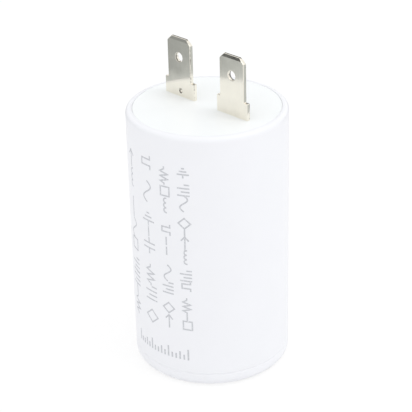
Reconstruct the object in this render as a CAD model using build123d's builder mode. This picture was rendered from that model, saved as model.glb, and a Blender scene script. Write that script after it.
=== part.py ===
"""Motor run capacitor: a round moulded case with two blade terminals on its lid.

Millimetres. The origin is the centre of the case's bottom face, with +Z up
and the two terminals in line along X. Terminal a stands on the +X side.
"""
import os

from build123d import *

# Case, a moulded cup
case_radius = 16.0
case_height = 55.0
wall = 1.35
floor_thickness = 1.6
bottom_edge_radius = 1.8
rim_edge_radius = 1.0
mouth_chamfer = 0.05
floor_corner_radius = 1.0
witness_height = 2.9
witness_depth = 0.15
rib_count = 6
rib_width = 1.2
rib_depth = 0.7
rib_first_angle = 30.0

# Lid, a moulded disc that closes the mouth and rests on the ribs
lid_gap = 0.05
lid_recess = 0.03
lid_thickness = 1.5
lid_edge_chamfer = 0.05
skirt_outer_radius = 13.6
skirt_wall = 1.2
skirt_depth = 2.7
collar_length = 10.6
collar_width = 3.2
collar_depth = 1.2

# Blade terminals, 6.3 x 0.8 mm, heights above the top of the lid
tab_centre = 7.2
tab_thickness = 0.8
blade_width = 6.3
base_width = 8.1
shoulder_height = 3.4
tip_height = 12.23
tip_corner_cut = 1.1
tip_bevel_height = 0.65
tip_bevel_depth = 0.22
edge_bevel = 0.12
edge_bevel_margin = 0.1
hole_radius = 0.95
hole_from_tip = 4.1
hole_edge = 0.12
pit_radius = 0.42
pit_depth = 0.4
pit_offset = 0.25
pit_height = 1.1
stop_width = 9.6
stop_height = 1.0
tail_width = 3.2
tail_height = 2.5

# Wound element
core_radius = 4.0
core_bore_radius = 2.5
winding_radius = 12.75
winding_length = 40.0
winding_edge_radius = 0.3
spray_thickness = 0.6
element_standoff = 2.4

# Leads and their solder joints
wire_radius = 0.4
sleeve_radius = 0.8
lead_bend = 1.6
tail_bend = 1.2
lead_offset = 0.5
lead_cross_height = 2.0
lead_end_above_tail = 2.0
lower_joint_x = -8.5
upper_joint_x = -10.0
sleeve_start_x = -4.2
sleeve_end_x = 4.9
spray_joint_radius = 1.8
spray_joint_height = 1.8
spray_joint_edge = 0.6
tab_joint_radius = 1.0
tab_joint_start = 0.2
tab_joint_height = 2.2
tab_joint_edge = 0.5

# Resin, poured until the lid's skirt dips into it
resin_top_below_lid = 1.7

# Heights and radii that follow
cavity_radius = case_radius - wall
lid_top = case_height - lid_recess
lid_underside = lid_top - lid_thickness
collar_underside = lid_underside - collar_depth
stop_underside = collar_underside - stop_height
tail_end = stop_underside - tail_height
blade_tip = lid_top + tip_height
hole_height = blade_tip - hole_from_tip
lower_spray_bottom = floor_thickness + element_standoff
winding_bottom = lower_spray_bottom + spray_thickness
winding_top = winding_bottom + winding_length
upper_spray_top = winding_top + spray_thickness
resin_top = lid_underside - resin_top_below_lid
lead_side = tab_thickness / 2 + wire_radius
lower_lead_height = lower_spray_bottom - lead_offset - wire_radius
upper_lead_height = upper_spray_top + wire_radius
lead_cross = upper_spray_top + lead_cross_height
lead_end = tail_end + lead_end_above_tail

os.makedirs("parts", exist_ok=True)

# Case: outer shape with a rounded bottom edge, a rounded rim and a fine moulding line
with BuildPart() as case:
    with BuildSketch(Plane.XZ):
        with BuildLine():
            Polyline(
                (0, 0),
                (case_radius, 0),
                (case_radius, witness_height - witness_depth),
                (case_radius - witness_depth, witness_height),
                (case_radius, witness_height + witness_depth),
                (case_radius, case_height),
                (cavity_radius, case_height),
                (cavity_radius, floor_thickness),
                (0, floor_thickness),
                close=True,
            )
        make_face()
    revolve(axis=Axis.Z)
    fillet(case.edges().filter_by(GeomType.CIRCLE).sort_by(Axis.Z)[0], bottom_edge_radius)
    floor_edges = case.edges().filter_by_position(Axis.Z, floor_thickness, floor_thickness)
    fillet(floor_edges.filter_by(GeomType.CIRCLE), floor_corner_radius)
    rim_edges = case.faces().sort_by(Axis.Z)[-1].edges().sort_by(SortBy.RADIUS)
    fillet(rim_edges[-1], rim_edge_radius)
    rim_edges = case.faces().sort_by(Axis.Z)[-1].edges().sort_by(SortBy.RADIUS)
    chamfer(rim_edges[0], mouth_chamfer)
    # Inner ribs that centre the winding and carry the lid
    with BuildSketch(Plane.XY.offset(floor_thickness)):
        with PolarLocations(cavity_radius, rib_count, start_angle=rib_first_angle):
            Rectangle(2 * rib_depth, rib_width)
    extrude(amount=lid_underside - floor_thickness)
case.part.label = "case"
export_step(case.part, "parts/case.step")

# Lid: a flat disc with a skirt that the resin grips and a collar under each slot
with BuildPart() as terminal_lid:
    with BuildSketch(Plane.XY.offset(lid_underside)):
        Circle(cavity_radius - lid_gap)
    extrude(amount=lid_thickness)
    chamfer(terminal_lid.faces().sort_by(Axis.Z)[-1].edges(), lid_edge_chamfer)
    with BuildSketch(Plane.XY.offset(lid_underside)):
        Circle(skirt_outer_radius)
        Circle(skirt_outer_radius - skirt_wall, mode=Mode.SUBTRACT)
    extrude(amount=-skirt_depth)
    with BuildSketch(Plane.XY.offset(lid_underside)):
        with Locations((-tab_centre, 0), (tab_centre, 0)):
            Rectangle(collar_length, collar_width)
    extrude(amount=-collar_depth)
    with BuildSketch(Plane.XY.offset(lid_top)):
        with Locations((-tab_centre, 0), (tab_centre, 0)):
            Rectangle(base_width, tab_thickness)
    extrude(amount=-(lid_thickness + collar_depth), mode=Mode.SUBTRACT)
terminal_lid.part.label = "terminal_lid"
export_step(terminal_lid.part, "parts/terminal_lid.step")

# Terminal a: a stamped plate with a shouldered blade, a stop under the lid and a solder tail
tab_plane = Plane(origin=(tab_centre, 0, 0), x_dir=(1, 0, 0), z_dir=(0, -1, 0))
shoulder = lid_top + shoulder_height
pit_sphere_radius = (pit_radius**2 + pit_depth**2) / (2 * pit_depth)
with BuildPart() as terminal_tab_a:
    with BuildSketch(tab_plane):
        with BuildLine():
            Polyline(
                (0, tail_end),
                (tail_width / 2, tail_end),
                (tail_width / 2, stop_underside),
                (stop_width / 2, stop_underside),
                (stop_width / 2, collar_underside),
                (base_width / 2, collar_underside),
                (base_width / 2, shoulder),
                (blade_width / 2, shoulder),
                (blade_width / 2, blade_tip - tip_corner_cut),
                (blade_width / 2 - tip_corner_cut, blade_tip),
                (0, blade_tip),
            )
            mirror(about=Plane.YZ)
        make_face()
    extrude(amount=tab_thickness / 2, both=True)
    # The punched edges of the blade, above the shoulders and below the tip
    face_edges = terminal_tab_a.edges().filter_by(Axis.Y, reverse=True)
    blade_edges = face_edges.filter_by_position(
        Axis.Z, shoulder + edge_bevel_margin, blade_tip - edge_bevel_margin
    )
    chamfer(blade_edges, edge_bevel)
    # The bevel that leads the blade into its receptacle, on both faces
    with BuildSketch(Plane.YZ.offset(tab_centre)):
        with BuildLine():
            Polyline(
                (tab_thickness / 2, blade_tip - tip_bevel_height),
                (tab_thickness / 2, blade_tip),
                (tab_thickness / 2 - tip_bevel_depth, blade_tip),
                close=True,
            )
        make_face()
        mirror(about=Plane.YZ)
    extrude(amount=blade_width / 2, both=True, mode=Mode.SUBTRACT)
    with Locations(Plane(origin=(tab_centre, -tab_thickness / 2, hole_height), z_dir=(0, -1, 0))):
        Hole(hole_radius, depth=tab_thickness)
    rims = terminal_tab_a.edges().filter_by(GeomType.CIRCLE)
    fillet(rims, hole_edge)
    # The locking pit, pressed into one face just above the lid
    pit_sphere_y = tab_thickness / 2 + pit_sphere_radius - pit_depth
    with Locations((tab_centre - pit_offset, pit_sphere_y, lid_top + pit_height)):
        Sphere(pit_sphere_radius, mode=Mode.SUBTRACT)
terminal_tab_a.part.label = "terminal_tab_a"
export_step(terminal_tab_a.part, "parts/terminal_tab_a.step")

# Terminal b: the same stamping, turned half round about the case's axis
with BuildPart() as terminal_tab_b:
    add(terminal_tab_a.part, rotation=(0, 0, 180))
terminal_tab_b.part.label = "terminal_tab_b"
export_step(terminal_tab_b.part, "parts/terminal_tab_b.step")

# Core: the tube that the film is wound on
with BuildPart() as winding_core:
    with BuildSketch(Plane.XY.offset(lower_spray_bottom)):
        Circle(core_radius)
        Circle(core_bore_radius, mode=Mode.SUBTRACT)
    extrude(amount=upper_spray_top - lower_spray_bottom)
winding_core.part.label = "winding_core"
export_step(winding_core.part, "parts/winding_core.step")

# Winding: all the turns of metallised film as one roll
with BuildPart() as film_winding:
    with BuildSketch(Plane.XY.offset(winding_bottom)):
        Circle(winding_radius)
        Circle(core_radius, mode=Mode.SUBTRACT)
    extrude(amount=winding_length)
    roll_ends = film_winding.faces().filter_by(Axis.Z)
    fillet([end.edges().sort_by(SortBy.RADIUS)[-1] for end in roll_ends], winding_edge_radius)
film_winding.part.label = "film_winding"
export_step(film_winding.part, "parts/film_winding.step")

# Zinc layers sprayed on the two ends of the roll
with BuildPart() as lower_end_spray:
    with BuildSketch(Plane.XY.offset(lower_spray_bottom)):
        Circle(winding_radius - winding_edge_radius)
        Circle(core_radius, mode=Mode.SUBTRACT)
    extrude(amount=spray_thickness)
lower_end_spray.part.label = "lower_end_spray"
export_step(lower_end_spray.part, "parts/lower_end_spray.step")

with BuildPart() as upper_end_spray:
    with BuildSketch(Plane.XY.offset(winding_top)):
        Circle(winding_radius - winding_edge_radius)
        Circle(core_radius, mode=Mode.SUBTRACT)
    extrude(amount=spray_thickness)
upper_end_spray.part.label = "upper_end_spray"
export_step(upper_end_spray.part, "parts/upper_end_spray.step")

# Lower lead: from the lower end up through the core, over to terminal a's tail
with BuildPart() as lower_lead_wire:
    with BuildLine(Plane.XZ.offset(lead_side)) as lower_lead_route:
        FilletPolyline(
            (lower_joint_x, lower_lead_height),
            (0, lower_lead_height),
            (0, lead_cross),
            (tab_centre, lead_cross),
            (tab_centre, lead_end),
            radius=(lead_bend, lead_bend, tail_bend),
        )
    with BuildSketch(Plane(origin=lower_lead_route.line @ 0, z_dir=lower_lead_route.line % 0)):
        Circle(wire_radius)
    sweep(path=lower_lead_route.line)
lower_lead_wire.part.label = "lower_lead_wire"
export_step(lower_lead_wire.part, "parts/lower_lead_wire.step")

# Sleeve: keeps the lower lead off the core and the upper end
with BuildPart() as lead_sleeve:
    with BuildLine(Plane.XZ.offset(lead_side)) as sleeve_route:
        FilletPolyline(
            (sleeve_start_x, lower_lead_height),
            (0, lower_lead_height),
            (0, lead_cross),
            (sleeve_end_x, lead_cross),
            radius=(lead_bend, lead_bend),
        )
    with BuildSketch(Plane(origin=sleeve_route.line @ 0, z_dir=sleeve_route.line % 0)):
        Circle(sleeve_radius)
        Circle(wire_radius, mode=Mode.SUBTRACT)
    sweep(path=sleeve_route.line)
lead_sleeve.part.label = "lead_sleeve"
export_step(lead_sleeve.part, "parts/lead_sleeve.step")

# Upper lead: from the upper end straight up to terminal b's tail
with BuildPart() as upper_lead_wire:
    with BuildLine(Plane.XZ.offset(-lead_side)) as upper_lead_route:
        FilletPolyline(
            (upper_joint_x, upper_lead_height),
            (-tab_centre, upper_lead_height),
            (-tab_centre, lead_end),
            radius=tail_bend,
        )
    with BuildSketch(Plane(origin=upper_lead_route.line @ 0, z_dir=upper_lead_route.line % 0)):
        Circle(wire_radius)
    sweep(path=upper_lead_route.line)
upper_lead_wire.part.label = "upper_lead_wire"
export_step(upper_lead_wire.part, "parts/upper_lead_wire.step")

# Solder that holds the leads to the sprayed ends
with BuildPart() as lower_spray_solder:
    with BuildSketch(Plane.XY.offset(lower_spray_bottom)):
        with Locations((lower_joint_x, -lead_side)):
            Circle(spray_joint_radius)
    extrude(amount=-spray_joint_height)
    fillet(lower_spray_solder.faces().sort_by(Axis.Z)[0].edges(), spray_joint_edge)
    add(lower_lead_wire.part, mode=Mode.SUBTRACT)
lower_spray_solder.part.label = "lower_spray_solder"
export_step(lower_spray_solder.part, "parts/lower_spray_solder.step")

with BuildPart() as upper_spray_solder:
    with BuildSketch(Plane.XY.offset(upper_spray_top)):
        with Locations((upper_joint_x, lead_side)):
            Circle(spray_joint_radius)
    extrude(amount=spray_joint_height)
    fillet(upper_spray_solder.faces().sort_by(Axis.Z)[-1].edges(), spray_joint_edge)
    add(upper_lead_wire.part, mode=Mode.SUBTRACT)
upper_spray_solder.part.label = "upper_spray_solder"
export_step(upper_spray_solder.part, "parts/upper_spray_solder.step")

# Solder that holds the leads to the tails, against one face of each
with BuildPart() as tab_a_solder:
    with BuildSketch(Plane.XY.offset(tail_end + tab_joint_start)):
        with Locations((tab_centre, -lead_side)):
            Circle(tab_joint_radius)
        with Locations((tab_centre, 0)):
            Rectangle(4 * tab_joint_radius, tab_thickness, mode=Mode.SUBTRACT)
    extrude(amount=tab_joint_height)
    round_edges = tab_a_solder.edges().filter_by(GeomType.CIRCLE)
    fillet(round_edges, tab_joint_edge)
    add(lower_lead_wire.part, mode=Mode.SUBTRACT)
tab_a_solder.part.label = "tab_a_solder"
export_step(tab_a_solder.part, "parts/tab_a_solder.step")

with BuildPart() as tab_b_solder:
    with BuildSketch(Plane.XY.offset(tail_end + tab_joint_start)):
        with Locations((-tab_centre, lead_side)):
            Circle(tab_joint_radius)
        with Locations((-tab_centre, 0)):
            Rectangle(4 * tab_joint_radius, tab_thickness, mode=Mode.SUBTRACT)
    extrude(amount=tab_joint_height)
    round_edges = tab_b_solder.edges().filter_by(GeomType.CIRCLE)
    fillet(round_edges, tab_joint_edge)
    add(upper_lead_wire.part, mode=Mode.SUBTRACT)
tab_b_solder.part.label = "tab_b_solder"
export_step(tab_b_solder.part, "parts/tab_b_solder.step")

# Resin: fills the case round everything that lies below its level
embedded = [
    case, terminal_lid, terminal_tab_a, terminal_tab_b, winding_core, film_winding,
    lower_end_spray, upper_end_spray, lower_lead_wire, lead_sleeve, upper_lead_wire,
    lower_spray_solder, upper_spray_solder, tab_a_solder, tab_b_solder,
]
with BuildPart() as potting_resin:
    with BuildSketch(Plane.XY.offset(floor_thickness / 2)):
        Circle(case_radius - wall / 2)
    extrude(amount=resin_top - floor_thickness / 2)
    for piece in embedded:
        add(piece.part, mode=Mode.SUBTRACT)
potting_resin.part.label = "potting_resin"
export_step(potting_resin.part, "parts/potting_resin.step")
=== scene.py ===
"""Motor run capacitor: its visible pieces and their finishes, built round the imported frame.

Metres, +Z up, the case's axis on Z and the two blade terminals in line along X.
"""
import math

import bmesh
import bpy
from mathutils import Matrix, Quaternion, Vector


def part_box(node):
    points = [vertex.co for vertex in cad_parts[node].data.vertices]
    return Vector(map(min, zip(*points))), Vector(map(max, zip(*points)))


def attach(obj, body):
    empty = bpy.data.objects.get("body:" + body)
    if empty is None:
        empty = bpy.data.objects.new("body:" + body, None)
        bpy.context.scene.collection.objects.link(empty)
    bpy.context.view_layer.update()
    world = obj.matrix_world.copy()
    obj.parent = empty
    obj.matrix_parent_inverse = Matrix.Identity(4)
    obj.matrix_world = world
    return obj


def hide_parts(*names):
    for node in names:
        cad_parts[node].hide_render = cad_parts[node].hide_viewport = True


bl_info = {
    "name": "Motor Run Capacitor",
    "version": (1, 0, 0),
    "blender": (4, 5, 0),
    "location": "3D View > Sidebar > Capacitor",
    "description": "Builds a moulded motor run capacitor with two blade terminals",
    "category": "Object",
}

MM = 0.001
BODY = "root"
FULL_TURN = 2 * math.pi
INK_ROOM = 0.03 * MM  # how far the wall stands inside the CAD wall, which leaves room for the ink
SAME_POINT = 1e-7  # points nearer than this are taken as one, in metres
SHARP_ANGLE = 30  # an edge is drawn sharp above this angle, in degrees

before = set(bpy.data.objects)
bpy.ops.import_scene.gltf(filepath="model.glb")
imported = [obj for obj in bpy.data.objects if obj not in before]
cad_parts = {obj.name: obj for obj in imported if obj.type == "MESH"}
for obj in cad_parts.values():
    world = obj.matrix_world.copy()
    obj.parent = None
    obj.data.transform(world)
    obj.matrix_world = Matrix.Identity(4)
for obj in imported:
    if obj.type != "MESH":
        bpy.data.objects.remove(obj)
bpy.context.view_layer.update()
CASE_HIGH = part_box("case")[1]
LID_LOW, LID_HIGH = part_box("terminal_lid")
TAB_LOW, TAB_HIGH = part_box("terminal_tab_a")


def number(name, description, default, **settings):
    """A value that a user may change."""
    return bpy.props.FloatProperty(name=name, description=description, default=default, **settings)


def length(name, description, default):
    """A size that a user may change, in metres."""
    return number(name, description, default, min=0.0, precision=5, unit="LENGTH")


def position(name, description, default):
    """A place that a user may change, in metres."""
    return bpy.props.FloatVectorProperty(
        name=name, description=description, default=default, precision=5, subtype="XYZ", unit="LENGTH"
    )


def colour(name, description, hex_code):
    """A colour that a user may change, kept as an sRGB hex value."""
    return bpy.props.StringProperty(name=name, description=description, default=hex_code)


class CapacitorCaseSizes(bpy.types.PropertyGroup):
    """Sizes of the moulded case and its lid"""

    radius: length("Case radius", "Radius of the straight wall", CASE_HIGH.x - INK_ROOM)
    height: length("Case height", "Height of the rim above the base", CASE_HIGH.z)
    wall: length("Wall", "Thickness of the case's wall", 1.35 * MM - INK_ROOM)
    floor: length("Floor", "Thickness of the case's floor", 1.6 * MM)
    base_round: length("Base round", "Radius of the edge round the base", 1.8 * MM)
    rim_round: length("Rim round", "Radius of the outer edge of the rim", 1.0 * MM)
    mouth_round: length("Mouth round", "Radius of the inner edge of the rim", 0.05 * MM)
    floor_round: length("Floor round", "Radius inside, between wall and floor", 1.0 * MM)
    line_height: length("Moulding line height", "Height of the moulding line", 2.9 * MM)
    line_depth: length("Moulding line depth", "Depth of the moulding line", 0.15 * MM)
    line_half: length("Moulding line half", "Half the height of the moulding line", 0.28 * MM)
    rib_width: length("Rib width", "Width of an inner rib", 1.2 * MM)
    rib_depth: length("Rib depth", "How far an inner rib stands off the wall", 0.7 * MM)
    lid_radius: length("Lid radius", "Radius of the lid's disc", LID_HIGH.x)
    lid_thickness: length("Lid thickness", "Thickness of the lid's disc", 1.5 * MM)
    lid_chamfer: length("Lid chamfer", "Slant round the lid's upper edge", 0.05 * MM)
    skirt_radius: length("Skirt radius", "Outer radius of the skirt in the resin", 13.6 * MM)
    skirt_wall: length("Skirt wall", "Thickness of the skirt", 1.2 * MM)
    collar_length: length("Collar length", "Length of the collar under a slot", 10.6 * MM)
    collar_width: length("Collar width", "Width of the collar under a slot", 3.2 * MM)
    collar_depth: length("Collar depth", "Depth of the collar under a slot", 1.2 * MM)


class CapacitorTerminalSizes(bpy.types.PropertyGroup):
    """Sizes of the stamped blade terminals"""

    centre: length("Centre", "Distance from the case's axis", (TAB_LOW.x + TAB_HIGH.x) / 2)
    thickness: length("Thickness", "Thickness of the strip", TAB_HIGH.y - TAB_LOW.y)
    blade_width: length("Blade width", "Width of the blade", 6.3 * MM)
    base_width: length("Base width", "Width where it leaves the lid", 8.1 * MM)
    shoulder: length("Shoulder", "Height of the shoulders above the lid", 3.4 * MM)
    corner_cut: length("Corner cut", "Length of the slanted tip corners", 1.1 * MM)
    bevel_height: length("Tip bevel height", "Height of the bevel at the tip", 0.65 * MM)
    bevel_depth: length("Tip bevel depth", "Depth of the bevel at the tip", 0.22 * MM)
    corner_round: length("Corner round", "Radius of the stamped corners", 0.15 * MM)
    edge_round: length("Edge round", "Radius of the long edges", 0.1 * MM)
    hole_radius: length("Hole radius", "Radius of the locking hole", 0.95 * MM)
    hole_drop: length("Hole drop", "Distance of the hole's centre below the tip", 4.1 * MM)
    hole_round: length("Hole round", "Radius of the hole's rolled edge", 0.12 * MM)
    pit_radius: length("Pit radius", "Radius of the locking pit", 0.42 * MM)
    pit_depth: length("Pit depth", "Depth of the locking pit", 0.4 * MM)
    pit_offset: length("Pit offset", "Distance of the pit from the terminal's centre line", 0.25 * MM)
    pit_lip: length("Pit lip", "How far the pit's lip stands proud", 0.03 * MM)
    pit_height: length("Pit height", "Height of the pit above the lid", 1.1 * MM)
    stop_width: length("Stop width", "Width of the stop under the lid", 9.6 * MM)
    stop_height: length("Stop height", "Height of the stop under the lid", 1.0 * MM)
    tail_width: length("Tail width", "Width of the solder tail", 3.2 * MM)


class CapacitorPrintSizes(bpy.types.PropertyGroup):
    """Sizes of the marks printed on the case"""

    stroke: length("Stroke", "Width of a printed stroke", 0.3 * MM)
    tick_stroke: length("Tick stroke", "Width of a tick of the scale near the base", 0.36 * MM)
    thickness: length("Ink thickness", "Thickness of the ink", 0.02 * MM)
    step: length("Step", "Longest stretch of a stroke between two points", 0.6 * MM)


class CapacitorColours(bpy.types.PropertyGroup):
    """Surface colours, as sRGB hex values"""

    case: colour("Case", "Moulded case", "F4F5F9")
    # The lid is a slightly cooler white than the case, and is made lighter than it as painted light for
    # the brighter top
    lid: colour("Lid", "Moulded lid", "FAFDFE")
    tin: colour("Tin", "Tin plating of the terminals", "FAF5E9")
    # Dark colour of the cut edges: partly metal that the punch tore, and painted shade in the hole, the
    # pit and on the tip's top
    torn_and_shade: colour("Torn edge", "Torn part of the terminals' cut edges", "7C7870")
    ink: colour("Ink", "Printed marks", "C8CACF")
    film: colour("Film", "Metallised film", "C9CBCE")
    tube: colour("Tube", "Natural plastic of the core", "E4E3DC")
    zinc: colour("Zinc", "Sprayed zinc", "9A9DA2")
    solder: colour("Solder", "Solder joints", "B9BABC")
    wire: colour("Wire", "Tinned copper leads", "CFCBC4")
    sleeve: colour("Sleeve", "Insulating sleeve", "DDD7C4")
    resin: colour("Resin", "Potting resin", "3B3B3E")
    floor: colour("Floor", "Floor under the part", "F4F4F4")
    # Colour of the glowing cards that paint reflections on the metal and the plastic
    card: colour("Card", "Cast of the grey cards that the metal reflects", "F7FDFF")


class CapacitorStage(bpy.types.PropertyGroup):
    """Camera and light"""

    eye: position("Eye", "Where the camera stands", (0.18518, -0.17906, 0.16398))
    target: position("Target", "Where the camera looks", (0.0, -0.00096, 0.03327))
    roll: number("Roll", "Turn of the camera about its own line of sight", -0.0247, subtype="ANGLE")
    lens: number("Lens", "Focal length in millimetres", 125.24, min=1.0)
    sky: number("Sky", "Strength of the even light from all round", 0.98, min=0.0)
    key_power: number("Key power", "Power of the soft key lamp", 0.42, min=0.0, unit="POWER")
    key_size: length("Key size", "Diameter of the key lamp", 0.30)
    key_distance: length("Key distance", "Distance of the key lamp from the lid", 0.55)
    key_azimuth: number(
        "Key azimuth", "Direction of the key lamp about the case", math.radians(23), subtype="ANGLE"
    )
    key_elevation: number(
        "Key elevation", "Height of the key lamp as an angle", math.radians(58), subtype="ANGLE"
    )


def linear(hex_code):
    """The linear RGBA colour of an sRGB hex value."""
    channels = [int(hex_code[k:k + 2], 16) / 255 for k in (0, 2, 4)]
    return tuple(c / 12.92 if c <= 0.04045 else ((c + 0.055) / 1.055) ** 2.4 for c in channels) + (1.0,)


def add_node(tree, kind, inputs=None, **settings):
    """Adds a node. An input is given a value, or is linked to a socket or a node's first output."""
    node = tree.nodes.new(kind)
    for name, value in settings.items():
        setattr(node, name, value)
    for name, value in (inputs or {}).items():
        if isinstance(value, bpy.types.Node):
            value = value.outputs[0]
        if isinstance(value, bpy.types.NodeSocket):
            tree.links.new(value, node.inputs[name])
        else:
            node.inputs[name].default_value = value
    return node


def new_material(name, finish, *values, **settings):
    """A material with the shader that the finish makes in its node tree."""
    material = bpy.data.materials.new(name)
    material.use_nodes = True
    tree = material.node_tree
    tree.nodes.clear()
    shader = finish(tree, *values, **settings)
    add_node(tree, "ShaderNodeOutputMaterial", {"Surface": shader})
    return material


def per_mm(size):
    """Texture scale in object space for a feature of that many millimetres."""
    return 1 / (size * MM)


def shaded(tree, plain, pattern, span, darkest, lightest=1.0, **settings):
    """The plain colour, darkest where the pattern is below its span and lightest above it."""
    tone = add_node(
        tree, "ShaderNodeMapRange",
        {"Value": pattern, "From Min": span[0], "From Max": span[1],
         "To Min": darkest, "To Max": lightest},
        **settings,
    )
    mixed = add_node(
        tree, "ShaderNodeMix", {0: 1.0, 6: plain, 7: tone}, data_type="RGBA", blend_type="MULTIPLY"
    )
    return mixed.outputs[2]


def moulded_polypropylene(tree, hex_code, roughness, grain_depth):
    """Flame-retardant polypropylene, injection moulded in a finely eroded tool.

    The eye gets a clean white with a satin sheen that wavers a little where the
    plastic flowed. The tool's grain is near 0.1 mm and is drawn at 0.3 mm, the
    finest that the render shows.
    """
    place = add_node(tree, "ShaderNodeTexCoord").outputs["Object"]
    flow = add_node(tree, "ShaderNodeTexNoise", {"Vector": place, "Scale": per_mm(9), "Detail": 3.0})
    grain = add_node(tree, "ShaderNodeTexNoise", {"Vector": place, "Scale": per_mm(0.3), "Detail": 2.0})
    tint = shaded(
        tree, linear(hex_code), flow.outputs["Fac"], (0.2, 0.8), 0.985, interpolation_type="SMOOTHSTEP"
    )
    gloss = add_node(
        tree, "ShaderNodeMapRange",
        {"Value": flow.outputs["Fac"], "From Min": 0.2, "From Max": 0.8,
         "To Min": roughness - 0.03, "To Max": roughness + 0.03},
        interpolation_type="SMOOTHSTEP",
    )
    relief = add_node(
        tree, "ShaderNodeBump",
        {"Height": grain.outputs["Fac"], "Strength": 0.35, "Distance": grain_depth * MM},
    )
    return add_node(
        tree, "ShaderNodeBsdfPrincipled",
        {"Base Color": tint, "Roughness": gloss, "IOR": 1.49, "Normal": relief},
    )


TORN_AND_SHADE_SPAN = (0.67 * MM, 0.79 * MM)  # depth and ragged noise together, from a clean cut to a dark one: partly metal that the punch tore, partly painted shade
TORN_AND_SHADE_NOISE = 0.8 * MM
HOLE_REACH = (1.2 * MM, 1.5 * MM)  # distance from the centre line where the painted shade of the hole and the pit ends
HOLE_PAINTED_SHADE = 0.26 * MM
TIP_REACH = (0.3 * MM, 0.1 * MM)  # distance below the tip where the painted shade on the tip's top starts
TIP_PAINTED_SHADE = 0.5 * MM
CUT_FACING = (0.75, 0.5)  # Y part of the normal, from a rolled face to a cut edge


def tin_plated_brass(tree, hex_code, torn_and_shade_hex, centre):
    """Tin plated over rolled and stamped brass strip.

    The eye gets a silvery, slightly warm mirror, softened by fine rolling lines
    along the blade and by faint clouds in the plating. The rolling lines are
    near 0.05 mm apart and are drawn at 0.12 mm. Ragged spots on the cut edges,
    on the side of the pit, get a dull dark colour, which stands partly for metal
    that the punch tore and partly for painted shade; the walls of the hole and
    the pit and the top of the tip get the most of it, and there it is painted shade.
    """
    coordinates = add_node(tree, "ShaderNodeTexCoord")
    place = coordinates.outputs["Object"]
    stretched = add_node(tree, "ShaderNodeMapping", {"Vector": place, "Scale": (1.0, 1.0, 0.03)})
    lines = add_node(
        tree, "ShaderNodeTexNoise", {"Vector": stretched, "Scale": per_mm(0.12), "Detail": 2.0}
    )
    clouds = add_node(
        tree, "ShaderNodeTexNoise", {"Vector": place, "Scale": per_mm(2.2), "Detail": 4.0}
    )
    patches = add_node(
        tree, "ShaderNodeTexNoise", {"Vector": place, "Scale": per_mm(0.5), "Detail": 3.0}
    )
    clouded = shaded(tree, linear(hex_code), clouds.outputs["Fac"], (0.3, 0.7), 0.95)
    plated = shaded(tree, clouded, lines.outputs["Fac"], (0.3, 0.7), 0.95)
    facing = add_node(tree, "ShaderNodeSeparateXYZ", {"Vector": coordinates.outputs["Normal"]})
    flat = add_node(tree, "ShaderNodeMath", {0: facing.outputs["Y"]}, operation="ABSOLUTE")
    cut = add_node(
        tree, "ShaderNodeMapRange",
        {"Value": flat, "From Min": CUT_FACING[0], "From Max": CUT_FACING[1]},
    )
    where = add_node(tree, "ShaderNodeSeparateXYZ", {"Vector": place})
    side = add_node(tree, "ShaderNodeMath", {0: where.outputs["X"]}, operation="SIGN")
    depth = add_node(tree, "ShaderNodeMath", {0: where.outputs["Y"], 1: side}, operation="MULTIPLY")
    ragged = add_node(
        tree, "ShaderNodeMath", {0: patches.outputs["Fac"], 1: TORN_AND_SHADE_NOISE, 2: depth},
        operation="MULTIPLY_ADD",
    )
    from_axis = add_node(tree, "ShaderNodeMath", {0: where.outputs["X"]}, operation="ABSOLUTE")
    off_centre = add_node(tree, "ShaderNodeMath", {0: from_axis, 1: centre}, operation="SUBTRACT")
    apart = add_node(tree, "ShaderNodeMath", {0: off_centre}, operation="ABSOLUTE")
    # Painted shade: more of the dark colour on the walls of the hole and the pit, near the centre line
    hole_and_pit_painted_shade = add_node(
        tree, "ShaderNodeMapRange",
        {"Value": apart, "From Min": HOLE_REACH[0], "From Max": HOLE_REACH[1],
         "To Min": HOLE_PAINTED_SHADE, "To Max": 0.0},
    )
    # Painted shade: more of the dark colour on the top of the tip
    tip = add_node(
        tree, "ShaderNodeMapRange",
        {"Value": where.outputs["Z"], "From Min": TAB_HIGH.z - TIP_REACH[0],
         "From Max": TAB_HIGH.z - TIP_REACH[1], "To Max": TIP_PAINTED_SHADE},
    )
    at_ends = add_node(tree, "ShaderNodeMath", {0: hole_and_pit_painted_shade, 1: tip})
    reach = add_node(tree, "ShaderNodeMath", {0: ragged, 1: at_ends})
    beyond = add_node(
        tree, "ShaderNodeMapRange", {"Value": reach, "From Min": TORN_AND_SHADE_SPAN[0], "From Max": TORN_AND_SHADE_SPAN[1]}
    )
    # Mask of the dark dull colour on the cut edges: partly metal that the punch tore, partly painted
    # shade
    torn_and_shade = add_node(tree, "ShaderNodeMath", {0: cut, 1: beyond}, operation="MULTIPLY")
    tint = add_node(tree, "ShaderNodeMix", {0: torn_and_shade, 6: plated, 7: linear(torn_and_shade_hex)}, data_type="RGBA")
    gloss = add_node(
        tree, "ShaderNodeMapRange",
        {"Value": clouds.outputs["Fac"], "From Min": 0.3, "From Max": 0.7,
         "To Min": 0.11, "To Max": 0.16},
    )
    roughness = add_node(tree, "ShaderNodeMath", {0: torn_and_shade, 1: 0.3, 2: gloss}, operation="MULTIPLY_ADD")
    relief = add_node(
        tree, "ShaderNodeBump",
        {"Height": lines.outputs["Fac"], "Strength": 0.25, "Distance": 0.004 * MM},
    )
    return add_node(
        tree, "ShaderNodeBsdfPrincipled",
        {"Base Color": tint.outputs[2], "Metallic": 1.0, "Roughness": roughness, "Normal": relief},
    )


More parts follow.
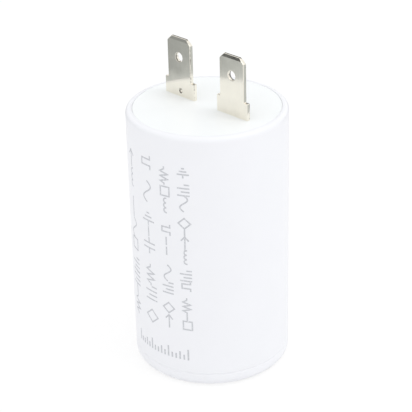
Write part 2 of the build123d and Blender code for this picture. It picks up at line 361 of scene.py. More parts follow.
def marking_ink(tree, hex_code, bare_hex):
    """Grey marking ink, printed thin.

    The eye gets a soft grey stroke that the white plastic shines through in
    specks of about 0.15 mm.
    """
    place = add_node(tree, "ShaderNodeTexCoord").outputs["Object"]
    specks = add_node(tree, "ShaderNodeTexNoise", {"Vector": place, "Scale": per_mm(0.3), "Detail": 3.0})
    cover = add_node(
        tree, "ShaderNodeMapRange",
        {"Value": specks.outputs["Fac"], "From Min": 0.52, "From Max": 0.72, "To Max": 0.6},
    )
    tint = add_node(
        tree, "ShaderNodeMix", {0: cover, 6: linear(hex_code), 7: linear(bare_hex)}, data_type="RGBA"
    )
    return add_node(
        tree, "ShaderNodeBsdfPrincipled", {"Base Color": tint.outputs[2], "Roughness": 0.55, "IOR": 1.5}
    )


WAVE_TEXTURE_RATE = 20  # repeats of a Wave Texture of scale 1 in a length of one full turn


def wound_film(tree, hex_code):
    """Metallised polypropylene film, wound tight into a roll.

    The eye gets a satin silver side and ends with fine rings of film edges,
    drawn 0.5 mm apart because a real turn is under 0.01 mm.
    """
    place = add_node(tree, "ShaderNodeTexCoord").outputs["Object"]
    scale = per_mm(0.5) * FULL_TURN / WAVE_TEXTURE_RATE
    turns = add_node(
        tree, "ShaderNodeTexWave",
        {"Vector": place, "Scale": scale, "Distortion": 0.6, "Detail": 2.0},
        wave_type="RINGS", rings_direction="Z",
    )
    tint = shaded(tree, linear(hex_code), turns.outputs["Fac"], (0.0, 1.0), 0.82)
    relief = add_node(
        tree, "ShaderNodeBump", {"Height": turns.outputs["Fac"], "Strength": 0.4, "Distance": 0.02 * MM}
    )
    return add_node(
        tree, "ShaderNodeBsdfPrincipled",
        {"Base Color": tint, "Metallic": 0.7, "Roughness": 0.38, "Normal": relief},
    )


def grainy_metal(tree, hex_code, roughness, grain, depth):
    """Metal that froze where it landed: arc-sprayed zinc, a solder joint, tin on a dipped wire.

    The eye gets a dull grey with a grain of the given size in millimetres,
    coarse on the spray and almost smooth on the solder and the wire.
    """
    place = add_node(tree, "ShaderNodeTexCoord").outputs["Object"]
    lumps = add_node(
        tree, "ShaderNodeTexNoise", {"Vector": place, "Scale": per_mm(grain), "Detail": 5.0}
    )
    tint = shaded(tree, linear(hex_code), lumps.outputs["Fac"], (0.3, 0.7), 0.8)
    relief = add_node(
        tree, "ShaderNodeBump", {"Height": lumps.outputs["Fac"], "Strength": 0.6, "Distance": depth * MM}
    )
    return add_node(
        tree, "ShaderNodeBsdfPrincipled",
        {"Base Color": tint, "Metallic": 1.0, "Roughness": roughness, "Normal": relief},
    )


def extruded_plastic(tree, hex_code):
    """Natural plastic drawn through a die: the core's tube and the lead's sleeve.

    The eye gets a waxy off-white with faint lines along its length, 0.4 mm apart.
    """
    place = add_node(tree, "ShaderNodeTexCoord").outputs["Object"]
    drawn = add_node(tree, "ShaderNodeMapping", {"Vector": place, "Scale": (1.0, 1.0, 0.05)})
    lines = add_node(tree, "ShaderNodeTexNoise", {"Vector": drawn, "Scale": per_mm(0.4), "Detail": 2.0})
    tint = shaded(tree, linear(hex_code), lines.outputs["Fac"], (0.0, 1.0), 0.92)
    return add_node(
        tree, "ShaderNodeBsdfPrincipled", {"Base Color": tint, "Roughness": 0.5, "IOR": 1.49}
    )


def cast_resin(tree, hex_code):
    """Polyurethane resin, poured and cured in the case.

    The eye gets a dark glossy fill with slow swirls of filler about 6 mm wide.
    """
    place = add_node(tree, "ShaderNodeTexCoord").outputs["Object"]
    swirls = add_node(
        tree, "ShaderNodeTexNoise",
        {"Vector": place, "Scale": per_mm(6), "Detail": 3.0, "Distortion": 1.5},
    )
    tint = shaded(tree, linear(hex_code), swirls.outputs["Fac"], (0.0, 1.0), 0.75, 1.2)
    return add_node(
        tree, "ShaderNodeBsdfPrincipled", {"Base Color": tint, "Roughness": 0.22, "IOR": 1.5}
    )


def arc(centre, radius, first, last, steps):
    """Points of an arc in the plane, angles in degrees."""
    points = []
    for k in range(steps + 1):
        angle = math.radians(first + (last - first) * k / steps)
        points.append((centre[0] + radius * math.cos(angle), centre[1] + radius * math.sin(angle)))
    return points


def ring(bm, radii, height, angles):
    """A ring of vertices about the Z axis, with one radius for each angle."""
    return [
        bm.verts.new((radius * math.cos(angle), radius * math.sin(angle), height))
        for radius, angle in zip(radii, angles)
    ]


def skin(bm, loops, capped=False):
    """Quads from each closed loop to the next, and where capped a face over each end."""
    for first, second in zip(loops, loops[1:]):
        count = len(first)
        for k in range(count):
            after = (k + 1) % count
            bm.faces.new((first[k], first[after], second[after], second[k]))
    if capped:
        bm.faces.new(loops[0])
        bm.faces.new(loops[-1])


def finish_piece(bm, name, material, replaced=None, sharp_angle=SHARP_ANGLE):
    """Turns a closed bmesh into a piece of the capacitor that rides on its body."""
    if not bm.faces or not all(edge.is_manifold for edge in bm.edges):
        raise RuntimeError(f"The mesh of {name} isn't closed; its sizes don't fit together")
    bmesh.ops.recalc_face_normals(bm, faces=bm.faces[:])
    mesh = bpy.data.meshes.new(name)
    bm.to_mesh(mesh)
    bm.free()
    mesh.shade_smooth()
    mesh.set_sharp_from_angle(angle=math.radians(sharp_angle))
    mesh.materials.append(material)
    piece = bpy.data.objects.new(name, mesh)
    bpy.context.scene.collection.objects.link(piece)
    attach(piece, BODY)
    if replaced:
        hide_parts(replaced)
    return piece


CASE_SIDES = 240
RIB_COUNT = 6
FIRST_RIB = math.radians(30)
ROUND_STEPS = 9
MOUTH_STEPS = 4
CORNER_STEPS = 6
WALL_BANDS = 12
HOLD = 0.12 * MM  # distance of the loop beside a rounded edge, which keeps the flat part flat
RIB_TOP_SLOPE = 0.05 * MM
RIB_DRAFT = math.radians(0.3)


def case_angles(sizes):
    """Angles of the case's columns, and whether each lies on an inner rib."""
    half_rib = math.asin(sizes.rib_width / 2 / (sizes.radius - sizes.wall))
    ribs = [FIRST_RIB + FULL_TURN * k / RIB_COUNT for k in range(RIB_COUNT)]
    columns = []
    for k in range(CASE_SIDES):
        angle = FULL_TURN * k / CASE_SIDES
        apart = min(abs(angle - rib) for rib in ribs)
        if abs(apart - half_rib) > 2 * RIB_DRAFT:
            columns.append((angle, apart < half_rib))
    for rib in ribs:
        columns += [(rib - half_rib, True), (rib + half_rib, True)]
        columns += [(rib - half_rib - RIB_DRAFT, False), (rib + half_rib + RIB_DRAFT, False)]
    return sorted(columns)


def case_rows(sizes):
    """Rows of the case's section as radius, height and whether a rib may narrow the row."""
    outer = sizes.radius
    inside = outer - sizes.wall
    ledge = LID_HIGH.z - sizes.lid_thickness
    line = sizes.line_height
    half = sizes.line_half
    wall_foot = line + half + HOLD
    wall_top = sizes.height - sizes.rim_round
    outside = [(outer - sizes.base_round - HOLD, 0.0)]
    base = (outer - sizes.base_round, sizes.base_round)
    outside += arc(base, sizes.base_round, -90, 0, ROUND_STEPS)
    outside += [(outer, sizes.base_round + HOLD), (outer, line - half - HOLD), (outer, line - half)]
    outside += [(outer - sizes.line_depth, line), (outer, line + half)]
    outside += [
        (outer, wall_foot + (wall_top - HOLD - wall_foot) * k / WALL_BANDS)
        for k in range(WALL_BANDS + 1)
    ]
    outside += arc((outer - sizes.rim_round, wall_top), sizes.rim_round, 0, 90, ROUND_STEPS)
    mouth = (inside + sizes.mouth_round, sizes.height - sizes.mouth_round)
    outside += [(mouth[0] + HOLD, sizes.height)]
    outside += arc(mouth, sizes.mouth_round, 90, 180, MOUTH_STEPS)
    rows = [(radius, height, False) for radius, height in outside]
    rows += [(inside, ledge, False), (inside, ledge - RIB_TOP_SLOPE, True)]
    corner = (inside - sizes.floor_round, sizes.floor + sizes.floor_round)
    inner_round = arc(corner, sizes.floor_round, 0, -90, CORNER_STEPS)
    rows += [(radius, height, True) for radius, height in inner_round]
    rows += [(corner[0] - HOLD, sizes.floor, False)]
    return rows


class CAPACITOR_OT_build_case(bpy.types.Operator):
    """Builds the moulded case: wall, rounded rim and base, moulding line and inner ribs"""

    bl_idname = "capacitor.build_case"
    bl_label = "Build Case"

    def execute(self, context):
        sizes = context.scene.capacitor_case
        columns = case_angles(sizes)
        angles = [angle for angle, _ in columns]
        rib_radius = sizes.radius - sizes.wall - sizes.rib_depth
        bm = bmesh.new()
        rings = []
        for radius, height, ribbed in case_rows(sizes):
            radii = [
                min(radius, rib_radius) if ribbed and on_rib else radius for _, on_rib in columns
            ]
            rings.append(ring(bm, radii, height, angles))
        skin(bm, rings, capped=True)
        plastic = new_material(
            "case_polypropylene_moulded", moulded_polypropylene, context.scene.capacitor_colours.case,
            roughness=0.36, grain_depth=0.01,
        )
        finish_piece(bm, "case_shell", plastic, "case")
        return {"FINISHED"}


def box_piece(name, low, high):
    """A plain block between two corners, used to add to or cut from the lid."""
    bm = bmesh.new()
    bmesh.ops.create_cube(bm, size=1.0)
    size = [high[k] - low[k] for k in range(3)]
    middle = [(high[k] + low[k]) / 2 for k in range(3)]
    bmesh.ops.scale(bm, vec=size, verts=bm.verts[:])
    bmesh.ops.translate(bm, vec=middle, verts=bm.verts[:])
    mesh = bpy.data.meshes.new(name)
    bm.to_mesh(mesh)
    bm.free()
    block = bpy.data.objects.new(name, mesh)
    bpy.context.scene.collection.objects.link(block)
    return block


def combine(target, block, operation):
    """Adds the block to the target's mesh or cuts it out, and removes the block."""
    modifier = target.modifiers.new("combine", "BOOLEAN")
    modifier.operation = operation
    modifier.object = block
    modifier.solver = "EXACT"
    graph = bpy.context.evaluated_depsgraph_get()
    combined = bpy.data.meshes.new_from_object(target.evaluated_get(graph))
    if len(combined.polygons) <= len(target.data.polygons):
        raise RuntimeError(f"The {block.name} doesn't reach {target.name}")
    target.modifiers.clear()
    target.data = combined
    bpy.data.objects.remove(block)


# The softened top of the lid's slant, as shares of its radius: how far out, and how far down
SLANT_ROUND = ((-1, 0), (-1 / 3, 1 / 6), (0.5, 0.6))


class CAPACITOR_OT_build_lid(bpy.types.Operator):
    """Builds the lid: flat disc, skirt for the resin, and a slot and collar for each terminal"""

    bl_idname = "capacitor.build_lid"
    bl_label = "Build Lid"

    def execute(self, context):
        sizes = context.scene.capacitor_case
        tab = context.scene.capacitor_terminals
        top = LID_HIGH.z
        under = top - sizes.lid_thickness
        skirt_inside = sizes.skirt_radius - sizes.skirt_wall
        slant_top = sizes.lid_radius - sizes.lid_chamfer
        soft = sizes.lid_chamfer / 4
        rows = [(slant_top - soft - HOLD, top)]
        rows += [(slant_top + out * soft, top - down * soft) for out, down in SLANT_ROUND]
        rows += [
            (sizes.lid_radius, top - sizes.lid_chamfer), (sizes.lid_radius, under),
            (sizes.skirt_radius, under), (sizes.skirt_radius, LID_LOW.z),
            (skirt_inside, LID_LOW.z), (skirt_inside, under),
        ]
        angles = [FULL_TURN * k / CASE_SIDES for k in range(CASE_SIDES)]
        bm = bmesh.new()
        rings = [ring(bm, [radius] * CASE_SIDES, height, angles) for radius, height in rows]
        skin(bm, rings, capped=True)
        plastic = new_material(
            "lid_polypropylene_moulded", moulded_polypropylene, context.scene.capacitor_colours.lid,
            roughness=0.32, grain_depth=0.008,
        )
        lid = finish_piece(bm, "terminal_lid_disc", plastic, "terminal_lid")
        collar_foot = under - sizes.collar_depth
        collar_top = under + sizes.lid_thickness / 2
        for name, operation, across, deep, low, high in (
            ("collar", "UNION", sizes.collar_length, sizes.collar_width, collar_foot, collar_top),
            ("slot", "DIFFERENCE", tab.base_width, tab.thickness, collar_foot - MM, top + MM),
        ):
            for middle in (-tab.centre, tab.centre):
                first = (middle - across / 2, -deep / 2, low)
                last = (middle + across / 2, deep / 2, high)
                combine(lid, box_piece(name, first, last), operation)
        lid.data.shade_smooth()
        lid.data.set_sharp_from_angle(angle=math.radians(SHARP_ANGLE))
        return {"FINISHED"}


STAMPED_STEPS = 6
STAMPED_SHARP_ANGLE = 16
FACE_HOLD = 0.02 * MM  # distance of the loop on the flat face beside a rounded edge
HOLE_SIDES = 64
PIT_SIDES = 40
# Loops round the pit, from outside in: a share of its radius, and a share of its lip's height
PIT_LIP = ((1.6, 0.0), (1.5, 0.0), (1.38, -0.5), (1.25, -1.0), (1.1, -0.7), (1.0, 0.0))
MITRE_LIMIT = 0.5  # the smallest cosine that a corner's offset is divided by


def rounded(outline, radius):
    """The outline with each corner turned into a short arc."""
    points = []
    count = len(outline)
    for k in range(count):
        corner = Vector(outline[k])
        before = (Vector(outline[k - 1]) - corner).normalized()
        after = (Vector(outline[(k + 1) % count]) - corner).normalized()
        half = before.angle(after) / 2
        reach = radius / math.tan(half)
        centre = corner + (before + after).normalized() * radius / math.sin(half)
        start = corner + before * reach - centre
        sweep = start.angle_signed(corner + after * reach - centre)
        for step in range(STAMPED_STEPS + 1):
            turn = Matrix.Rotation(-sweep * step / STAMPED_STEPS, 2)
            points.append(tuple(centre + turn @ start))
    return points


def mitred(into, out, distance):
    """The step to the left at a corner between two unit directions, for sides that far away."""
    normal = Vector((-(into.y + out.y), into.x + out.x)).normalized()
    return normal * distance / max(MITRE_LIMIT, normal.dot(Vector((-into.y, into.x))))


def inset(outline, distance):
    """The outline moved inwards, for an outline that runs anticlockwise."""
    moved = []
    count = len(outline)
    for k in range(count):
        here = Vector(outline[k])
        into = (here - Vector(outline[k - 1])).normalized()
        out = (Vector(outline[(k + 1) % count]) - here).normalized()
        moved.append(tuple(here + mitred(into, out, distance)))
    return moved


def plate_levels(thickness, edge):
    """Inset and depth of each loop over a rounded edge, from the flat front face to the back.

    The first and last loops lie on the faces, so that these shade flat up to the edge.
    """
    front = [(edge + FACE_HOLD, -thickness / 2)]
    for k in range(STAMPED_STEPS + 1):
        angle = math.pi / 2 * k / STAMPED_STEPS
        front.append((edge * (1 - math.sin(angle)), edge * (1 - math.cos(angle)) - thickness / 2))
    return front + [(shift, -depth) for shift, depth in reversed(front)]


def terminal_outline(tab, case):
    """Anticlockwise outline of the stamped strip, seen from the front, about its own centre line."""
    collar_foot = LID_HIGH.z - case.lid_thickness - case.collar_depth
    stop_foot = collar_foot - tab.stop_height
    shoulder = LID_HIGH.z + tab.shoulder
    right = [
        (tab.tail_width / 2, TAB_LOW.z), (tab.tail_width / 2, stop_foot),
        (tab.stop_width / 2, stop_foot), (tab.stop_width / 2, collar_foot),
        (tab.base_width / 2, collar_foot), (tab.base_width / 2, shoulder),
        (tab.blade_width / 2, shoulder), (tab.blade_width / 2, TAB_HIGH.z - tab.corner_cut),
        (tab.blade_width / 2 - tab.corner_cut, TAB_HIGH.z),
    ]
    return right + [(-x, z) for x, z in reversed(right)]


def round_loop(bm, middle, radius, depth, sides):
    """A round loop of vertices in a plane that faces along Y."""
    turns = [FULL_TURN * k / sides for k in range(sides)]
    return [
        bm.verts.new((middle[0] + radius * math.cos(turn), depth, middle[1] + radius * math.sin(turn)))
        for turn in turns
    ]


def loop_edges(bm, loop):
    """The edges of a closed loop, made where they are missing."""
    pairs = zip(loop, loop[1:] + loop[:1])
    return [bm.edges.get(pair) or bm.edges.new(pair) for pair in pairs]


def terminal_mesh(tab, case):
    """The stamped terminal as a bmesh about its own centre line, with its pit on the front."""
    bm = bmesh.new()
    front = -tab.thickness / 2
    outline = rounded(terminal_outline(tab, case), tab.corner_round)
    loops = [
        [bm.verts.new((x, depth, z)) for x, z in inset(outline, shift)]
        for shift, depth in plate_levels(tab.thickness, tab.edge_round)
    ]
    skin(bm, loops)
    hole_height = TAB_HIGH.z - tab.hole_drop
    hole = [
        round_loop(bm, (0, hole_height), tab.hole_radius + shift, depth, HOLE_SIDES)
        for shift, depth in plate_levels(tab.thickness, tab.hole_round)
    ]
    skin(bm, hole)
    pit_middle = (tab.pit_offset, LID_HIGH.z + tab.pit_height)
    pit = [
        round_loop(bm, pit_middle, tab.pit_radius * wide, front + tab.pit_lip * proud, PIT_SIDES)
        for wide, proud in PIT_LIP
    ]
    for k in range(1, STAMPED_STEPS):
        angle = math.pi / 2 * k / STAMPED_STEPS
        narrow = tab.pit_radius * math.cos(angle)
        deep = front + tab.pit_depth * math.sin(angle)
        pit.append(round_loop(bm, pit_middle, narrow, deep, PIT_SIDES))
    skin(bm, pit)
    bm.faces.new(pit[-1])
    front_edges = loop_edges(bm, loops[0]) + loop_edges(bm, hole[0]) + loop_edges(bm, pit[0])
    back_edges = loop_edges(bm, loops[-1]) + loop_edges(bm, hole[-1])
    bmesh.ops.triangle_fill(bm, use_beauty=True, edges=front_edges)
    bmesh.ops.triangle_fill(bm, use_beauty=True, edges=back_edges)
    crease = TAB_HIGH.z - tab.bevel_height
    bmesh.ops.bisect_plane(
        bm, geom=bm.verts[:] + bm.edges[:] + bm.faces[:], dist=SAME_POINT,
        plane_co=(0, 0, crease), plane_no=(0, 0, 1),
    )
    for vertex in bm.verts:
        if vertex.co.z > crease:
            share = (vertex.co.z - crease) / tab.bevel_height
            vertex.co.y *= 1 - share * tab.bevel_depth / (tab.thickness / 2)
    return bm


class CAPACITOR_OT_build_terminals(bpy.types.Operator):
    """Builds the two blade terminals, the same stamping turned half round for the second"""

    bl_idname = "capacitor.build_terminals"
    bl_label = "Build Terminals"

    def execute(self, context):
        tab = context.scene.capacitor_terminals
        colours = context.scene.capacitor_colours
        tin = new_material(
            "terminal_tin_plated_brass", tin_plated_brass, colours.tin, colours.torn_and_shade, tab.centre
        )
        for letter, side, turn in (("a", 1, math.pi), ("b", -1, 0.0)):
            bm = terminal_mesh(tab, context.scene.capacitor_case)
            place = Matrix.Translation((side * tab.centre, 0, 0)) @ Matrix.Rotation(turn, 4, "Z")
            bmesh.ops.transform(bm, matrix=place, verts=bm.verts[:])
            finish_piece(
                bm, f"terminal_{letter}_blade", tin, f"terminal_tab_{letter}",
                STAMPED_SHARP_ANGLE,
            )
        return {"FINISHED"}


WAVE = [(1.4 * k / 16, 0.5 + 0.32 * math.sin(FULL_TURN * k / 16)) for k in range(17)]
COIL = [(0.25 + 0.4 * turn + x, 0.4 + y) for turn in range(3) for x, y in arc((0, 0), 0.2, 180, 0, 6)]
# Plain drawing signs in a cell one unit high: the width of each, and the points of its strokes
SIGNS = {
    "plates": (1.1, [[(0, 0.5), (0.38, 0.5)], [(0.38, 0), (0.38, 1)], [(0.72, 0), (0.72, 1)],
                     [(0.72, 0.5), (1.1, 0.5)]]),
    "zigzag": (1.5, [[(0, 0.5), (0.15, 0.5), (0.3, 0.85), (0.5, 0.15), (0.7, 0.85), (0.9, 0.15),
                      (1.1, 0.85), (1.3, 0.5), (1.5, 0.5)]]),
    "wave": (1.4, [WAVE]),
    "coil": (1.3, [[(0, 0.4)] + COIL + [(1.3, 0.4)]]),
    "pulse": (1.0, [[(0.05, 0.15), (0.3, 0.15), (0.3, 0.85), (0.7, 0.85), (0.7, 0.15), (0.95, 0.15)]]),
    "diamond": (0.9, [[(0.45, 0), (0.9, 0.5), (0.45, 1), (0, 0.5), (0.45, 0)]]),
    "square": (0.75, [[(0, 0.1), (0.75, 0.1), (0.75, 0.85), (0, 0.85), (0, 0.1)]]),
    "arrow": (1.2, [[(0, 0.5), (1.15, 0.5)], [(0.8, 0.82), (1.15, 0.5), (0.8, 0.18)]]),
    "earth": (0.8, [[(0, 0.5), (0.3, 0.5)], [(0.3, 0), (0.3, 1)], [(0.55, 0.2), (0.55, 0.8)],
                    [(0.8, 0.38), (0.8, 0.62)]]),
    "bars": (0.9, [[(0, 0), (0, 1)], [(0.3, 0), (0.3, 0.7)], [(0.6, 0), (0.6, 1)],
                   [(0.9, 0), (0.9, 0.45)]]),
    "dash": (0.7, [[(0, 0.5), (0.7, 0.5)]]),
    "space": (0.6, []),
}
# Rows: angle round the case in degrees, height of the signs and of both ends in mm, and the signs
SIGN_ROWS = (
    (-57.4, 2.5, 13.2, 48.6,
     "square dash zigzag space pulse bars space coil arrow dash diamond space wave bars space earth"),
    (-71.6, 2.6, 12.8, 48.4,
     "arrow diamond space bars wave space dash dash pulse space coil square zigzag"),
    (-86.6, 3.3, 12.4, 49.8,
     "diamond space bars zigzag space plates dash earth space wave space pulse"),
    (-107.2, 3.2, 11.6, 48.8,
     "zigzag dash bars bars space square wave dash dash space coil arrow"),
)
# The scale of ticks: its two ends in degrees, its foot and its ticks in mm
SCALE_FIRST = -110.0
SCALE_LAST = -62.0
SCALE_TICKS = 16
SCALE_FOOT = 6.0
TICK_LENGTHS = (2.5, 1.2, 1.2, 1.8, 1.2)


def stroke_sections(points, step):
    """The points of a stroke, with more added so that none is further than step from the next."""
    dense = [Vector(points[0])]
    for target in points[1:]:
        start = dense[-1]
        run = Vector(target) - start
        parts = max(1, math.ceil(run.length / step))
        dense += [start + run * k / parts for k in range(1, parts + 1)]
    return dense


def up_the_case(base, radius):
    """Places a point of a drawing that runs up the wall from the base angle."""
    return lambda point: (base - point.y / radius, point.x)


def round_the_case(base, radius):
    """Places a point of a drawing that stands upright at the base angle."""
    return lambda point: (base + point.x / radius, point.y)


INK_ROOT = 1.5  # depth of the ink from its face, in thicknesses, so that it bites into the wall


def add_stroke(bm, points, width, wrap, sizes, outer):
    """A thin ribbon of ink along the points. wrap gives a point's angle and height on the case."""
    closed = (Vector(points[0]) - Vector(points[-1])).length < SAME_POINT
    line = stroke_sections(points, sizes.step)
    if closed:
        line = line[:-1]
    count = len(line)
    sections = []
    for k in range(count):
        before = line[k - 1] if k or closed else line[k]
        after = line[(k + 1) % count] if k < count - 1 or closed else line[k]
        into = (line[k] - before if line[k] != before else after - line[k]).normalized()
        out = (after - line[k]).normalized() if after != line[k] else into
        reach = mitred(into, out, width / 2)
        corners = []
        for side, sunk in ((1, INK_ROOT), (1, 0.0), (-1, 0.0), (-1, INK_ROOT)):
            angle, height = wrap(line[k] + reach * side)
            radius = outer - sunk * sizes.thickness
            corners.append(bm.verts.new((radius * math.cos(angle), radius * math.sin(angle), height)))
        sections.append(corners)
    skin(bm, sections + sections[:1] if closed else sections, capped=not closed)


class CAPACITOR_OT_build_print(bpy.types.Operator):
    """Prints rows of plain drawing signs up the case and a scale of ticks near its base"""

    bl_idname = "capacitor.build_print"
    bl_label = "Build Print"

    def execute(self, context):
        sizes = context.scene.capacitor_print
        outer = context.scene.capacitor_case.radius + sizes.thickness
        bm = bmesh.new()
        for base_angle, cap, first, last, kinds in SIGN_ROWS:
            signs = [SIGNS[kind] for kind in kinds.split()]
            gap = (last - first - cap * sum(width for width, _ in signs)) / (len(signs) - 1)
            wrap = up_the_case(math.radians(base_angle), outer)
            cursor = first
            for width, strokes in signs:
                for stroke in strokes:
                    points = [((cursor + x * cap) * MM, y * cap * MM) for x, y in stroke]
                    add_stroke(bm, points, sizes.stroke, wrap, sizes, outer)
                cursor += width * cap + gap
        for k in range(SCALE_TICKS):
            angle = math.radians(SCALE_FIRST + (SCALE_LAST - SCALE_FIRST) * k / (SCALE_TICKS - 1))
            tick = TICK_LENGTHS[k % len(TICK_LENGTHS)]
            points = [(0, SCALE_FOOT * MM), (0, (SCALE_FOOT + tick) * MM)]
            add_stroke(bm, points, sizes.tick_stroke, round_the_case(angle, outer), sizes, outer)
        colours = context.scene.capacitor_colours
        ink = new_material("marking_ink_printed", marking_ink, colours.ink, colours.case)
        finish_piece(bm, "printed_marks", ink)
        return {"FINISHED"}


class CAPACITOR_OT_finish_inside(bpy.types.Operator):
    """Gives the sealed inner pieces their materials"""

    bl_idname = "capacitor.finish_inside"
    bl_label = "Finish Inside"

    def execute(self, context):
        colours = context.scene.capacitor_colours
        finishes = {
            ("film_winding",): new_material("film_metallised_wound", wound_film, colours.film),
            ("winding_core",): new_material(
                "core_polypropylene_extruded", extruded_plastic, colours.tube
            ),
            ("lower_end_spray", "upper_end_spray"): new_material(
                "zinc_arc_sprayed", grainy_metal, colours.zinc, roughness=0.6, grain=0.35, depth=0.05
            ),
            ("lower_spray_solder", "upper_spray_solder", "tab_a_solder", "tab_b_solder"): new_material(
                "solder_frozen", grainy_metal, colours.solder, roughness=0.28, grain=0.8, depth=0.01
            ),
            ("lower_lead_wire", "upper_lead_wire"): new_material(
                "lead_copper_tinned", grainy_metal, colours.wire, roughness=0.25, grain=0.5, depth=0.004
            ),
            ("lead_sleeve",): new_material("sleeve_silicone_extruded", extruded_plastic, colours.sleeve),
            ("potting_resin",): new_material("resin_polyurethane_cast", cast_resin, colours.resin),
        }
        for nodes, material in finishes.items():
            for node in nodes:
                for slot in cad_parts[node].material_slots:
                    slot.material = material
        return {"FINISHED"}


FLOOR_REACH = 3.0
FLOOR_DROP = 0.02 * MM  # keeps the paper clear of the base
FLOOR_GLOW = 1.05  # just over white, so that the paper's shadow stays faint
FLOOR_GLOW_SHARE = 0.75
# Glowing cards round the part, seen only in reflections, paint reflections of darker surroundings:
# "across" and "rise" are the parts of a card over which its level changes from the first side to the
# last and from the foot to the rest, and "levels" are foot, first, last
CARD = dict(distance=0.095, foot=0.0215, top=0.055, slant=0.0, rise=(0.0, 0.3), across=(0.0, 1.0))
CARDS = (
    dict(CARD, name="front_card", azimuth=225, width=0.08, foot=0.0145, slant=0.06,
         rise=(0.176, 0.236), levels=(0.98, 0.22, 0.72)),
    dict(CARD, name="tip_card", azimuth=225, width=0.08, foot=0.055, top=0.085,
         rise=(-1.0, 0.0), across=(0.5, 0.66), levels=(0.31, 0.31, 0.05)),
    dict(CARD, name="side_card", azimuth=44, width=0.06, top=0.05, levels=(0.85, 0.6, 0.6)),
    dict(CARD, name="rear_card", azimuth=95, width=0.11, levels=(0.5, 0.12, 0.12)),
    dict(CARD, name="left_card", azimuth=165, width=0.11, levels=(0.5, 0.25, 0.25)),
    dict(CARD, name="back_card", azimuth=136, width=0.12, distance=0.16, foot=0.12, top=0.17,
         rise=(0.0, 1.0), levels=(0.2, 0.1, 0.1)),
)


def shown_rays(tree):
    """A factor that is 1 for rays that carry the background: camera, glossy and transmission."""
    path = add_node(tree, "ShaderNodeLightPath")
    either = add_node(
        tree, "ShaderNodeMath", {0: path.outputs["Is Camera Ray"], 1: path.outputs["Is Glossy Ray"]},
        operation="MAXIMUM",
    )
    return add_node(
        tree, "ShaderNodeMath", {0: either, 1: path.outputs["Is Transmission Ray"]}, operation="MAXIMUM"
    )


def pale_floor(tree, hex_code):
    """Matt white studio paper, which shows as plain white and keeps a soft shadow."""
    paper = add_node(tree, "ShaderNodeBsdfDiffuse", {"Color": linear(hex_code)})
    glow = add_node(tree, "ShaderNodeEmission", {"Color": (1, 1, 1, 1), "Strength": FLOOR_GLOW})
    share = add_node(
        tree, "ShaderNodeMath", {0: shown_rays(tree), 1: FLOOR_GLOW_SHARE}, operation="MULTIPLY"
    )
    return add_node(tree, "ShaderNodeMixShader", {0: share, 1: paper, 2: glow})


def painted_reflection_card(tree, card, hex_code):
    """A glowing sheet that only reflections see, which paints a reflection of darker surroundings:
    one level at its foot, and above it a level for each side.

    The change from the foot to the rest follows "rise", and runs aslant over the card by "slant".
    """
    place = add_node(tree, "ShaderNodeTexCoord").outputs["Generated"]
    split = add_node(tree, "ShaderNodeSeparateXYZ", {"Vector": place})
    foot, first, last = card["levels"]
    height = add_node(
        tree, "ShaderNodeMath", {0: split.outputs["X"], 1: card["slant"], 2: split.outputs["Z"]},
        operation="MULTIPLY_ADD",
    )
    side = add_node(
        tree, "ShaderNodeMapRange",
        {"Value": split.outputs["X"], "From Min": card["across"][0], "From Max": card["across"][1],
         "To Min": first, "To Max": last},
    )
    level = add_node(
        tree, "ShaderNodeMapRange",
        {"Value": height, "From Min": card["rise"][0], "From Max": card["rise"][1],
         "To Min": foot, "To Max": side},
    )
    return add_node(tree, "ShaderNodeEmission", {"Color": linear(hex_code), "Strength": level})


def stage_sheet(name, corners, material):
    """A flat sheet of the stage between four corners."""
    mesh = bpy.data.meshes.new(name)
    mesh.from_pydata(corners, [], [(0, 1, 2, 3)])
    mesh.materials.append(material)
    sheet = bpy.data.objects.new(name, mesh)
    bpy.context.scene.collection.objects.link(sheet)
    return sheet


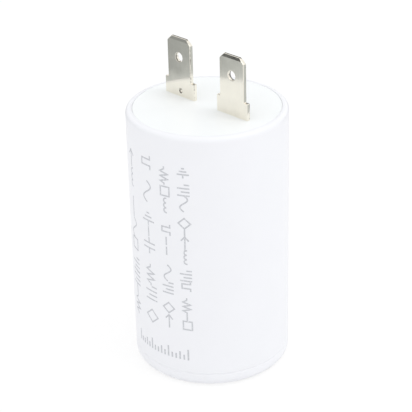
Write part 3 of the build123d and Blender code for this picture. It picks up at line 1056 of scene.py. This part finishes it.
class CAPACITOR_OT_build_stage(bpy.types.Operator):
    """Sets out the pale floor, the soft light and the camera"""

    bl_idname = "capacitor.build_stage"
    bl_label = "Build Stage"

    def execute(self, context):
        scene = context.scene
        self.set_floor(scene.capacitor_colours)
        self.set_cards(scene.capacitor_colours)
        self.set_light(scene, scene.capacitor_stage)
        self.set_camera(scene, scene.capacitor_stage)
        scene.view_settings.view_transform = "Standard"
        return {"FINISHED"}

    def set_floor(self, colours):
        """Lays the paper under the base."""
        corners = [
            (x * FLOOR_REACH, y * FLOOR_REACH, -FLOOR_DROP)
            for x, y in ((-1, -1), (1, -1), (1, 1), (-1, 1))
        ]
        paper = new_material("studio_paper_white", pale_floor, colours.floor)
        stage_sheet("floor", corners, paper)

    def set_cards(self, colours):
        """Stands the glowing cards round the part, which paint reflections on the metal and the plastic.
        """
        for card in CARDS:
            azimuth = math.radians(card["azimuth"])
            middle = Vector((math.cos(azimuth), math.sin(azimuth), 0)) * card["distance"]
            across = Vector((-math.sin(azimuth), math.cos(azimuth), 0)) * card["width"] / 2
            corners = [
                middle + across * side + Vector((0, 0, card[end]))
                for side, end in ((-1, "foot"), (1, "foot"), (1, "top"), (-1, "top"))
            ]
            grey = new_material(card["name"] + "_painted_reflection", painted_reflection_card, card, colours.card)
            sheet = stage_sheet(card["name"], corners, grey)
            # Only reflections see the cards: they paint reflections, and give no light or shadow
            sheet.visible_camera = False
            sheet.visible_diffuse = False
            sheet.visible_shadow = False

    def set_light(self, scene, stage):
        """Sets the even sky and the soft key lamp."""
        world = bpy.data.worlds.new("soft_sky")
        scene.world = world
        world.use_nodes = True
        tree = world.node_tree
        tree.nodes.clear()
        strength = add_node(
            tree, "ShaderNodeMapRange", {"Value": shown_rays(tree), "To Min": stage.sky, "To Max": 1.0}
        )
        sky = add_node(tree, "ShaderNodeBackground", {"Color": (1, 1, 1, 1), "Strength": strength})
        add_node(tree, "ShaderNodeOutputWorld", {"Surface": sky})
        lamp = bpy.data.lights.new("key", "AREA")
        lamp.shape = "DISK"
        lamp.size = stage.key_size
        lamp.energy = stage.key_power
        key = bpy.data.objects.new("key", lamp)
        scene.collection.objects.link(key)
        direction = Vector((
            math.cos(stage.key_azimuth) * math.cos(stage.key_elevation),
            math.sin(stage.key_azimuth) * math.cos(stage.key_elevation),
            math.sin(stage.key_elevation),
        ))
        key.location = Vector((0, 0, LID_HIGH.z)) + direction * stage.key_distance
        key.rotation_euler = direction.to_track_quat("Z", "Y").to_euler()

    def set_camera(self, scene, stage):
        """Sets the camera that sees the part as the reference does."""
        data = bpy.data.cameras.new("camera")
        data.lens = stage.lens
        data.sensor_width = 36.0
        data.clip_start = 0.01
        camera = bpy.data.objects.new("camera", data)
        scene.collection.objects.link(camera)
        aim = (stage.target - stage.eye).to_track_quat("-Z", "Y")
        camera.location = stage.eye
        camera.rotation_euler = (aim @ Quaternion((0, 0, 1), stage.roll)).to_euler()
        scene.camera = camera


class CAPACITOR_PT_build(bpy.types.Panel):
    """Buttons that build the capacitor piece by piece"""

    bl_idname = "CAPACITOR_PT_build"
    bl_label = "Motor Run Capacitor"
    bl_space_type = "VIEW_3D"
    bl_region_type = "UI"
    bl_category = "Capacitor"

    def draw(self, context):
        for operator in OPERATORS:
            self.layout.operator(operator.bl_idname)


GROUPS = {
    "capacitor_case": CapacitorCaseSizes,
    "capacitor_terminals": CapacitorTerminalSizes,
    "capacitor_print": CapacitorPrintSizes,
    "capacitor_colours": CapacitorColours,
    "capacitor_stage": CapacitorStage,
}
OPERATORS = (
    CAPACITOR_OT_build_case,
    CAPACITOR_OT_build_lid,
    CAPACITOR_OT_build_terminals,
    CAPACITOR_OT_build_print,
    CAPACITOR_OT_finish_inside,
    CAPACITOR_OT_build_stage,
)


def register():
    for name, group in GROUPS.items():
        bpy.utils.register_class(group)
        setattr(bpy.types.Scene, name, bpy.props.PointerProperty(type=group))
    for operator in OPERATORS:
        bpy.utils.register_class(operator)
    bpy.utils.register_class(CAPACITOR_PT_build)


def unregister():
    bpy.utils.unregister_class(CAPACITOR_PT_build)
    for operator in reversed(OPERATORS):
        bpy.utils.unregister_class(operator)
    for name, group in reversed(GROUPS.items()):
        delattr(bpy.types.Scene, name)
        bpy.utils.unregister_class(group)


def main():
    """Registers the classes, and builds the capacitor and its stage."""
    register()
    bpy.ops.capacitor.build_case()
    bpy.ops.capacitor.build_lid()
    bpy.ops.capacitor.build_terminals()
    bpy.ops.capacitor.build_print()
    bpy.ops.capacitor.finish_inside()
    bpy.ops.capacitor.build_stage()


if __name__ == "__main__":
    main()
